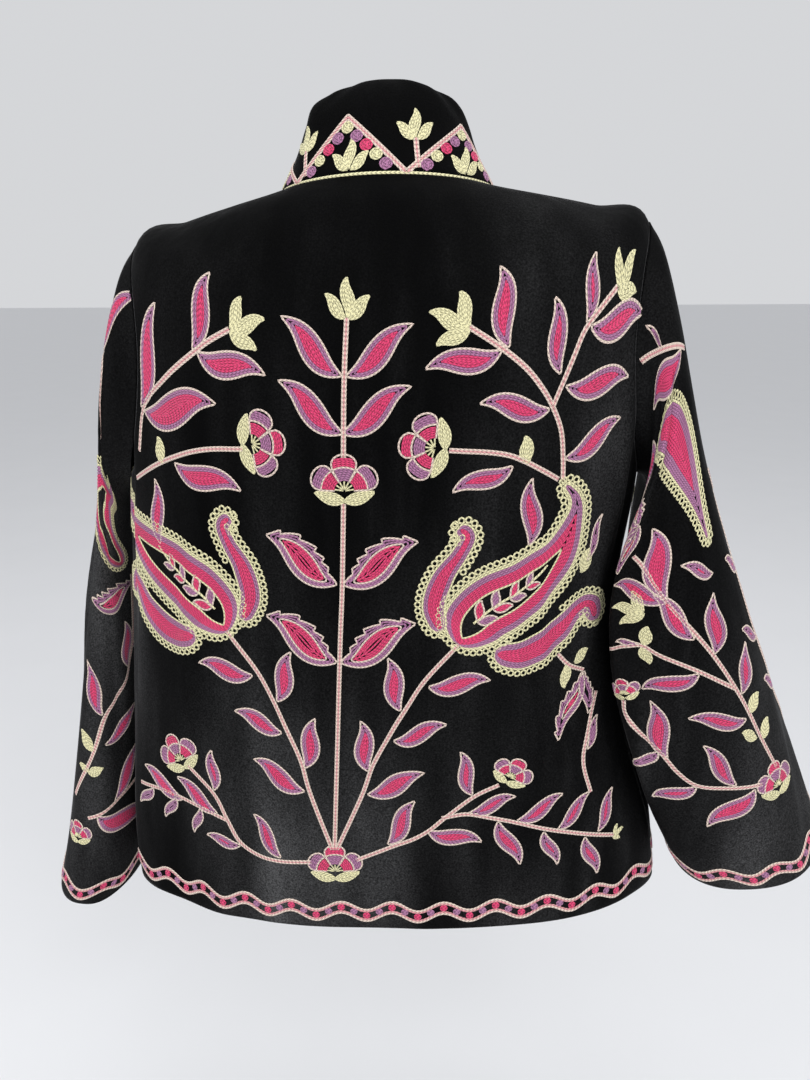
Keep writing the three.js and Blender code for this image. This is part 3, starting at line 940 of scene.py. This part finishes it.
# The collar's zigzag and the dots under it.
ZIG_PEAK, ZIG_HALF, ZIG_LOW, ZIG_HIGH = -23.0, 45.5, 4.0, 51.0
ZIG_LINE, ZIG_APART = 1.6, 2.0
DOT_COLOURS = ("cream", "mauve", "pink")
DOTS_A_SIDE, COLLAR_DOT, DOT_DROP, DOT_LOWEST = 6, 5.2, 10.5, 6.0


def collar_pattern(st):
    """A zigzag with dots under it, and a bud in and over each triangle."""
    st.row([(-262, 2.2), (262, 2.2)], "cream", 2.4)
    for k in range(-3, 4):
        peak = ZIG_PEAK + k * 2 * ZIG_HALF
        end = peak + ZIG_HALF
        for line, colour in enumerate(("ivory", "blush", "ivory")):
            corners = np.array([(peak - ZIG_HALF, ZIG_LOW), (peak, ZIG_HIGH), (end, ZIG_LOW)])
            st.row(corners - (0, line * ZIG_APART), colour, ZIG_LINE)
        for step in range(DOTS_A_SIDE):
            share = step / DOTS_A_SIDE
            up = ZIG_HIGH - DOT_DROP - (ZIG_HIGH - ZIG_LOW) * share
            if up > DOT_LOWEST:
                for side in (-1, 1) if step else (1,):
                    dot(st, (peak + side * share * ZIG_HALF, up), DOT_COLOURS[step % 3], COLLAR_DOT)
        bud(st, (peak + 3, 5), (peak + 3, 31))
        stem(st, (end + 9, 6), (end + 7, 20), (end + 6, 30))
        bud(st, (end + 6, 29), (end + 4, 54))


# ---- Materials ----

# Colours in linear light.
PAINTS = {
    "cream": (0.84, 0.79, 0.47),
    "ivory": (0.82, 0.66, 0.56),
    "mauve": (0.43, 0.18, 0.34),
    "pink": (0.77, 0.05, 0.17),
    "blush": (0.74, 0.34, 0.35),
}
# Painted shade: a thread is drawn darker between its loops, where they dip into shade.
LOOP_GAP_SHADE = 0.2  # how bright a thread is between its loops
# The velvet's own near-black, and the grey of the sheen painted into it in patches.
NAP, PAINTED_SHEEN = (0.0006, 0.0006, 0.0007), (0.075, 0.075, 0.077)
SHEEN_TINT = (0.78, 0.78, 0.8, 1)
FLOOR_PAINT, SKY = (0.74, 0.745, 0.76), (0.74, 0.75, 0.77, 1)


def new_material(name, settings):
    """A material with some of its shader's inputs set."""
    material = bpy.data.materials.new(name)
    material.use_nodes = True
    shader = next(n for n in material.node_tree.nodes if n.type == "BSDF_PRINCIPLED")
    for socket, value in settings.items():
        shader.inputs[socket].default_value = value
    return material, material.node_tree, shader


def add_node(tree, kind, **inputs):
    """A new node, with its inputs set to values or joined to other nodes."""
    node = tree.nodes.new("ShaderNode" + kind)
    for name, value in inputs.items():
        if isinstance(value, bpy.types.NodeSocket):
            tree.links.new(value, node.inputs[name])
        else:
            node.inputs[name].default_value = value
    return node


def math_node(tree, operation, *values):
    """The result of one operation on numbers and links."""
    node = add_node(tree, "Math")
    node.operation = operation
    for socket, value in zip(node.inputs, values):
        if isinstance(value, (int, float)):
            socket.default_value = value
        else:
            tree.links.new(value, socket)
    return node.outputs[0]


def noise(tree, scale, detail, stretch=(1, 1, 1)):
    """Noise in the jacket's own place, at so many lumps a metre."""
    place = add_node(tree, "TexCoord").outputs["Object"]
    place = add_node(tree, "Mapping", Vector=place, Scale=stretch).outputs["Vector"]
    return add_node(tree, "TexNoise", Vector=place, Scale=scale, Detail=detail).outputs["Fac"]


def split(tree, link):
    return add_node(tree, "SeparateXYZ", Vector=link).outputs


def tint(tree, shader, factor, dark, light):
    node = add_node(tree, "Mix")
    node.data_type = "RGBA"
    tree.links.new(factor, node.inputs[0])
    node.inputs[6].default_value = (*dark, 1)
    node.inputs[7].default_value = (*light, 1)
    tree.links.new(node.outputs[2], shader.inputs["Base Color"])


def bump(tree, shader, height, strength, distance):
    node = add_node(tree, "Bump", Height=height, Strength=strength, Distance=distance)
    tree.links.new(node.outputs["Normal"], shader.inputs["Normal"])


def thread(name, colour):
    """Chain stitch: V-shaped loops along each row, with painted shade in the gaps between them."""
    settings = {"Roughness": 0.72, "Specular IOR Level": 0.3, "Sheen Weight": 0.25}
    material, tree, shader = new_material("thread_" + name, settings)
    do = partial(math_node, tree)
    uv = add_node(tree, "UVMap")
    uv.uv_map = "UVMap"
    along, over, _ = split(tree, uv.outputs[0])
    off = do("ABSOLUTE", do("SUBTRACT", over, 0.5))
    part = do("FRACT", do("SUBTRACT", along, do("MULTIPLY", off, 1.1)))
    loop = do("POWER", do("SINE", do("MULTIPLY", part, np.pi)), 0.6)
    fuzz = do("ADD", do("MULTIPLY", noise(tree, 900, 3), 0.5), 0.72)
    shade = do("MINIMUM", do("MULTIPLY", loop, fuzz), 1.0)
    # painted shade darkens each thread between its loops
    tint(tree, shader, shade, tuple(c * LOOP_GAP_SHADE for c in colour), colour)
    bump(tree, shader, loop, 0.6, 0.0006)
    return material


def velvet():
    """Short dense pile: almost black, with grey patches of painted sheen where the nap lies the other way
    and catches the light.

    The painted sheen fades out towards the shoulders."""
    settings = {"Roughness": 0.7, "Specular IOR Level": 0.03, "Sheen Weight": 0.11}
    settings |= {"Sheen Roughness": 0.16, "Sheen Tint": SHEEN_TINT}
    material, tree, shader = new_material("velvet_nap", settings)
    do = partial(math_node, tree)
    sheen_noise = noise(tree, 7, 3, (1, 1, 0.3))
    streaks = noise(tree, 34, 2, (1, 1, 0.16))
    pile = noise(tree, 700, 4)
    # Painted sheen: wide patches and narrow streaks of grey, speckled by the pile.
    wide = do("POWER", do("MULTIPLY", sheen_noise, 1.4), 7.0)
    narrow_sheen = do("MULTIPLY", do("POWER", do("MULTIPLY", streaks, 1.2), 4.0), 0.22)
    height = split(tree, add_node(tree, "TexCoord").outputs["Object"])[2]
    # Painted sheen: the grey patches are stronger lower down and fade towards the shoulders.
    lower_sheen = do("MAXIMUM", do("ADD", do("MULTIPLY", height, -2.0), 0.1), 0.12)
    sheen_patch = do("MULTIPLY", do("ADD", wide, narrow_sheen), do("MINIMUM", lower_sheen, 0.9))
    grain = do("MULTIPLY", do("POWER", pile, 2.0), 4.0)
    tint(tree, shader, do("MINIMUM", do("MULTIPLY", sheen_patch, grain), 1.0), NAP, PAINTED_SHEEN)
    relief = do("ADD", do("MULTIPLY", pile, 0.2), do("MULTIPLY", streaks, 2.2))
    bump(tree, shader, relief, 0.7, 0.002)
    return material


def floor_paint():
    material, tree, shader = new_material("floor_paint", {"Roughness": 0.9})
    tint(tree, shader, noise(tree, 6, 3), tuple(c * 0.97 for c in FLOOR_PAINT), FLOOR_PAINT)
    return material


# ---- The cloth ----


def cloth_wall(name, surface, u, v, tube=False):
    """A closed thin wall over a grid of places. A tube's rows go all the way round."""
    out = normals(surface, u, np.clip(v, v.min() + 2 * SMALL, v.max() - 2 * SMALL)) * CLOTH / 2
    rows, columns = u.shape
    points = np.concatenate([surface(u, v) + out, surface(u, v) - out]).reshape(-1, 3)
    index = np.arange(rows * columns).reshape(rows, columns)
    if tube:
        index = np.concatenate([index, index[:, :1]], axis=1)
    inner = rows * columns
    a, b, c, d = index[:-1, :-1], index[:-1, 1:], index[1:, 1:], index[1:, :-1]
    faces = [np.stack([a, b, c, d], -1).reshape(-1, 4)]
    faces.append(np.stack([a, d, c, b], -1).reshape(-1, 4) + inner)
    edges = [(index[0], 1), (index[-1], -1)]
    if not tube:
        edges += [(index[:, 0], -1), (index[:, -1], 1)]
    for line, way in edges:
        near, far = line[:-1], line[1:]
        strip = np.stack([near, near + inner, far + inner, far], -1)
        faces.append(strip[:, ::way])
    wall = mesh_object(name, points, np.concatenate(faces), [VELVET])
    work = bmesh.new()
    work.from_mesh(wall.data)
    bmesh.ops.recalc_face_normals(work, faces=work.faces)
    work.to_mesh(wall.data)
    work.free()
    return wall


# The body's grid rows, closer together where an armhole begins and ends.
EASED = (1 - np.cos(np.linspace(0, np.pi, 57))) / 2
BODY_PLACES = np.r_[
    np.linspace(0, UNDERARM, 92)[:-1],
    (UNDERARM + (TIP - UNDERARM) * EASED)[:-1],
    np.linspace(TIP, NECK - 0.01, 32),
]
BACK_COLUMNS, FRONT_COLUMNS = 112, 64
SLEEVE_ROWS, SLEEVE_COLUMNS = 150, 110
COLLAR_ROWS, COLLAR_COLUMNS = 40, 150
BODY_HALF, NECK_HALF = 200.0, 85.0
SEAM_TURN = SEAM_GAP / BODY_HALF
NECK_EDGE = NECK - 0.02  # where the embroidery ends, so that it stays clear of the collar
CHART_GAP, COLLAR_CHART = 0.015, 0.985 * np.pi  # where the embroidery ends at the middle front


def back_edge(place):
    return np.pi / 2 - armhole_width(place, ARMHOLE_BACK) - SEAM_TURN


def front_edge(place):
    return np.pi / 2 + armhole_width(place, ARMHOLE_FRONT) + SEAM_TURN


def free_edge(place, side):
    return np.pi - FRONT_GAP / 2 / either(side > 0, "left", "right", place)


def panel_grid(start, end, columns):
    """Places on a panel of the body between two edges."""
    share = np.linspace(0, 1, columns)[None, :]
    u = start(BODY_PLACES)[:, None] * (1 - share) + end(BODY_PLACES)[:, None] * share
    return u, np.repeat(BODY_PLACES[:, None], columns, 1)


def dress(node, obj, stitches):
    """Puts a cloth piece and its embroidery on the frame."""
    thread_obj = stitches.mesh(node + "_embroidery")
    for piece in (obj, thread_obj):
        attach(piece, "root")
    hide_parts(node)


def embroidered(chart, pattern, band_up):
    """A pattern, and a wavy band so far over the chart's lower edge."""
    st = Stitches(chart)
    pattern(st)
    wavy_band(st, chart.right[0].min(), chart.right[0].max(), chart.up.min() + band_up)
    return st


def make_back():
    chart = Chart(body_surface, (QUARTER, -QUARTER), (0, NECK_EDGE), 0.0, NECK_EDGE)
    u, v = panel_grid(back_edge, lambda place: -back_edge(place), BACK_COLUMNS)
    obj = cloth_wall("back_cloth", body_surface, u, v)
    dress("back", obj, embroidered(chart, back_pattern, HEM_UP))


def make_front(name, side):
    """A front panel, the wearer's left one where side is 1."""
    middle = side * (np.pi - CHART_GAP)
    ends = (middle, QUARTER) if side > 0 else (-QUARTER, middle)
    chart = Chart(body_surface, ends, (0, NECK_EDGE), middle, NECK_EDGE)
    edges = [lambda place: side * free_edge(place, side), lambda place: side * front_edge(place)]
    u, v = panel_grid(*edges[::side], FRONT_COLUMNS)
    obj = cloth_wall(name + "_cloth", body_surface, u, v)
    st = embroidered(chart, partial(front_pattern, side=side), HEM_UP)
    dress(name, obj, st)


def make_sleeve(name, surface, u_range, pattern):
    """A sleeve, whose chart is cut open at the front."""
    chart = Chart(surface, u_range, (CUFF, 0), np.pi / 4, 0)
    turn = np.linspace(0, 2 * np.pi, SLEEVE_COLUMNS + 1)[:-1]
    u, v = np.meshgrid(turn, np.linspace(0, CUFF, SLEEVE_ROWS))
    obj = cloth_wall(name + "_cloth", surface, u, v, tube=True)
    dress(name, obj, embroidered(chart, pattern, CUFF_UP))


def make_collar():
    st = Stitches(Chart(collar_point, (COLLAR_CHART, -COLLAR_CHART), (0, COLLAR_TOP), 0.0, 0))
    collar_pattern(st)
    end = np.pi - FRONT_GAP / 2 / NECK_HALF
    u, v = np.meshgrid(np.linspace(end, -end, COLLAR_COLUMNS), np.linspace(0, COLLAR_TOP, COLLAR_ROWS))
    obj = cloth_wall("collar_cloth", collar_point, u, v)
    dress("collar", obj, st)


# ---- Stage ----

CAMERA_PLACE = (-87.0, 712.7, -71.5)
CAMERA_AZIMUTH, CAMERA_PITCH, CAMERA_ROLL = 186.0, 18.0, -0.5
CAMERA_LENS, SENSOR_HEIGHT = 27.03, 36.0
FLOOR_DROP, FLOOR_HALF = 1100.0, 30000.0
SKY_STRENGTH = 0.9
LIGHT_AIM = (0, 0, -0.3)
# Each light's place and size in metres, and its power in watts.
LIGHTS = {
    "key": ((-1.3, 1.9, 1.3), 1.6, 42),
    "fill": ((1.8, 1.5, 0.6), 1.8, 20),
    "top": ((0, -0.3, 2.2), 2.0, 25),
}


def make_camera():
    data = bpy.data.cameras.new("camera")
    data.sensor_fit, data.sensor_height, data.lens = "VERTICAL", SENSOR_HEIGHT, CAMERA_LENS
    camera = bpy.data.objects.new("camera", data)
    turns = ((CAMERA_AZIMUTH, "Z"), (90 - CAMERA_PITCH, "X"), (CAMERA_ROLL, "Z"))
    frame = Matrix.Translation(Vector(CAMERA_PLACE) * MM)
    for degrees, axis in turns:
        frame = frame @ Matrix.Rotation(np.radians(degrees), 4, axis)
    camera.matrix_world = frame
    bpy.context.scene.collection.objects.link(camera)
    bpy.context.scene.camera = camera


def area_light(name, place, size, power):
    data = bpy.data.lights.new(name, "AREA")
    data.size, data.energy = size, power
    light = bpy.data.objects.new(name, data)
    light.location = place
    light.rotation_euler = (Vector(LIGHT_AIM) - Vector(place)).to_track_quat("-Z", "Y").to_euler()
    bpy.context.scene.collection.objects.link(light)


def make_stage():
    corners = [(x, y, -FLOOR_DROP) for x, y in ((-1, -1), (1, -1), (1, 1), (-1, 1))]
    corners = np.array(corners) * (FLOOR_HALF, FLOOR_HALF, 1)
    mesh_object("floor", corners, np.array([[0, 1, 2, 3]]), [floor_paint()])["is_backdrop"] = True
    world = bpy.data.worlds.new("studio")
    world.use_nodes = True
    ground = next(n for n in world.node_tree.nodes if n.type == "BACKGROUND")
    ground.inputs[0].default_value = SKY
    ground.inputs[1].default_value = SKY_STRENGTH
    bpy.context.scene.world = world
    for name, light in LIGHTS.items():
        area_light(name, *light)
    bpy.context.scene.view_settings.view_transform = "Standard"


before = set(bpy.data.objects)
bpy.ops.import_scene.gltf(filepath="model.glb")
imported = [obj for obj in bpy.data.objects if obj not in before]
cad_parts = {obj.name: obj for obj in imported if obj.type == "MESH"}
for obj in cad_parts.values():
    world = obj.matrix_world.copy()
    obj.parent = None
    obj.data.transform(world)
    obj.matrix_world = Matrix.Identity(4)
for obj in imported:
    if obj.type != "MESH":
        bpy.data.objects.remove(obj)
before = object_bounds()
THREADS = [thread(name, colour) for name, colour in PAINTS.items()]
VELVET = velvet()
make_back()
make_front("front_left", 1)
make_front("front_right", -1)
make_sleeve("sleeve_left", left_surface, (-QUARTER, 3 * QUARTER), left_sleeve_pattern)
make_sleeve("sleeve_right", right_surface, (3 * QUARTER, -QUARTER), right_sleeve_pattern)
make_collar()
make_stage()
make_camera()
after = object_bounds()
[[list(corner) for corner in box] for box in (before, after)]
